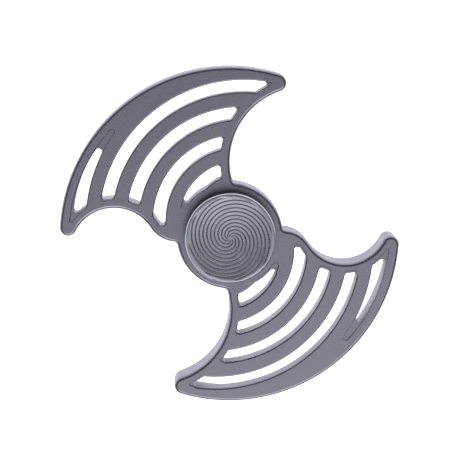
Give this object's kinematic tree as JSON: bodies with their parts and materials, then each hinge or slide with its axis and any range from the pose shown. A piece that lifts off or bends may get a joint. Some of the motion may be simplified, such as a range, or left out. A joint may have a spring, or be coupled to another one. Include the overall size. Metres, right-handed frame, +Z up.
{
  "type": "fidget spinner",
  "caption": "Hand spinner: crescent blades with curved slots on a round hub, turning on a ball bearing between spiral-grooved finger caps.",
  "frame": {"origin": "centre of the lower cap's resting face, at the bottom of the part", "axes": "+Z up along the spin axis towards the upper cap; +X and +Y in the plane of the blades, with the blades in the (-X, +Y) and (+X, -Y) quarters at rest"},
  "size_m": [0.085, 0.0844, 0.0151],
  "materials": {
    "body": "bead-blasted, anodised gunmetal aluminium",
    "cap": "turned and anodised, spiral grooves",
    "ring": "ground bearing steel",
    "ball": "polished bearing steel",
    "cage": "pressed steel",
    "shield": "pressed steel",
    "clip": "spring steel",
    "washer": "turned steel",
    "stud": "blackened steel"
  },
  "bodies": {
    "caps": {"upper_cap": "cap", "lower_cap": "cap", "cap_stud": "stud", "upper_washer": "washer", "lower_washer": "washer", "bearing_inner_ring": "ring"},
    "spinner": {"spinner_body": "body", "bearing_outer_ring": "ring", "bearing_shield_upper": "shield", "bearing_shield_lower": "shield", "bearing_clip_upper": "clip", "bearing_clip_lower": "clip"},
    "cage": {"bearing_cage_upper": "cage", "bearing_cage_lower": "cage"},
    "ball_1": {"bearing_ball_1": "ball"},
    "ball_2": {"bearing_ball_2": "ball"},
    "ball_3": {"bearing_ball_3": "ball"},
    "ball_4": {"bearing_ball_4": "ball"},
    "ball_5": {"bearing_ball_5": "ball"},
    "ball_6": {"bearing_ball_6": "ball"},
    "ball_7": {"bearing_ball_7": "ball"}
  },
  "joints": [
    {"name": "spinner_spin", "type": "hinge", "parent": "caps", "child": "spinner", "pos_m": [0, 0, 0.00755], "axis": [0, 0, 1], "continuous": true},
    {"name": "cage_spin", "type": "hinge", "parent": "caps", "child": "cage", "pos_m": [0, 0, 0.00755], "axis": [0, 0, 1], "continuous": true},
    {"name": "ball_1_spin", "type": "hinge", "parent": "cage", "child": "ball_1", "pos_m": [0.0075, 0, 0.00755], "axis": [0, 0, 1], "continuous": true},
    {"name": "ball_2_spin", "type": "hinge", "parent": "cage", "child": "ball_2", "pos_m": [0.00468, 0.00586, 0.00755], "axis": [0, 0, 1], "continuous": true},
    {"name": "ball_3_spin", "type": "hinge", "parent": "cage", "child": "ball_3", "pos_m": [-0.00167, 0.00731, 0.00755], "axis": [0, 0, 1], "continuous": true},
    {"name": "ball_4_spin", "type": "hinge", "parent": "cage", "child": "ball_4", "pos_m": [-0.00676, 0.00325, 0.00755], "axis": [0, 0, 1], "continuous": true},
    {"name": "ball_5_spin", "type": "hinge", "parent": "cage", "child": "ball_5", "pos_m": [-0.00676, -0.00325, 0.00755], "axis": [0, 0, 1], "continuous": true},
    {"name": "ball_6_spin", "type": "hinge", "parent": "cage", "child": "ball_6", "pos_m": [-0.00167, -0.00731, 0.00755], "axis": [0, 0, 1], "continuous": true},
    {"name": "ball_7_spin", "type": "hinge", "parent": "cage", "child": "ball_7", "pos_m": [0.00468, -0.00586, 0.00755], "axis": [0, 0, 1], "continuous": true}
  ],
  "couplings": [
    {"joint": "cage_spin", "follows": "spinner_spin", "ratio": 0.63233},
    {"joint": "ball_1_spin", "follows": "spinner_spin", "ratio": 1.7568},
    {"joint": "ball_2_spin", "follows": "spinner_spin", "ratio": 1.7568},
    {"joint": "ball_3_spin", "follows": "spinner_spin", "ratio": 1.7568},
    {"joint": "ball_4_spin", "follows": "spinner_spin", "ratio": 1.7568},
    {"joint": "ball_5_spin", "follows": "spinner_spin", "ratio": 1.7568},
    {"joint": "ball_6_spin", "follows": "spinner_spin", "ratio": 1.7568},
    {"joint": "ball_7_spin", "follows": "spinner_spin", "ratio": 1.7568}
  ]
}
